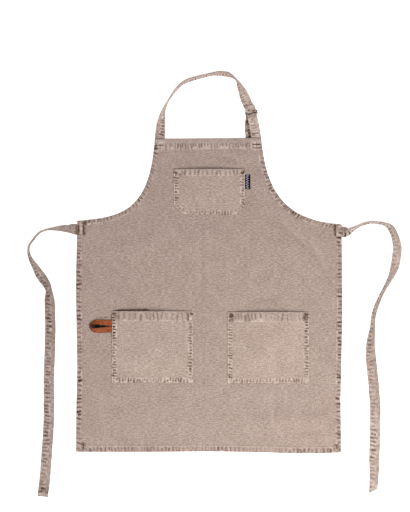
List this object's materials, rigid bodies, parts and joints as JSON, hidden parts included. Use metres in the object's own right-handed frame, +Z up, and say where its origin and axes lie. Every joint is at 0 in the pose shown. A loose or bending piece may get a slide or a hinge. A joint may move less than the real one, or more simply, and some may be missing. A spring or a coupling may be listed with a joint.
{
  "type": "kitchen apron",
  "caption": "Bib apron of washed canvas with patch pockets, a neck strap on a ring, waist ties and a leather towel loop, lying flat.",
  "frame": {"origin": "on the surface that the apron lies on, under the middle of the body and neck strap", "axes": "+Z up from the surface, +Y towards the neck, +X to the right seen from above the front"},
  "size_m": [0.9884, 1.1243, 0.0281],
  "materials": {
    "canvas": "stone-coloured washed cotton canvas, matt, with puckered seams",
    "ring_metal": "dark oxidised wire",
    "loop_leather": "tan vegetable-tanned leather strip",
    "label_tape": "black woven tape, plain"
  },
  "bodies": {
    "root": {"apron_body": "canvas", "chest_pocket": "canvas", "left_pocket": "canvas", "right_pocket": "canvas", "neck_strap": "canvas", "ring_strap": "canvas", "strap_ring": "ring_metal", "waist_tie_left": "canvas", "waist_tie_right": "canvas", "towel_loop": "loop_leather", "side_label": "label_tape"}
  },
  "joints": []
}
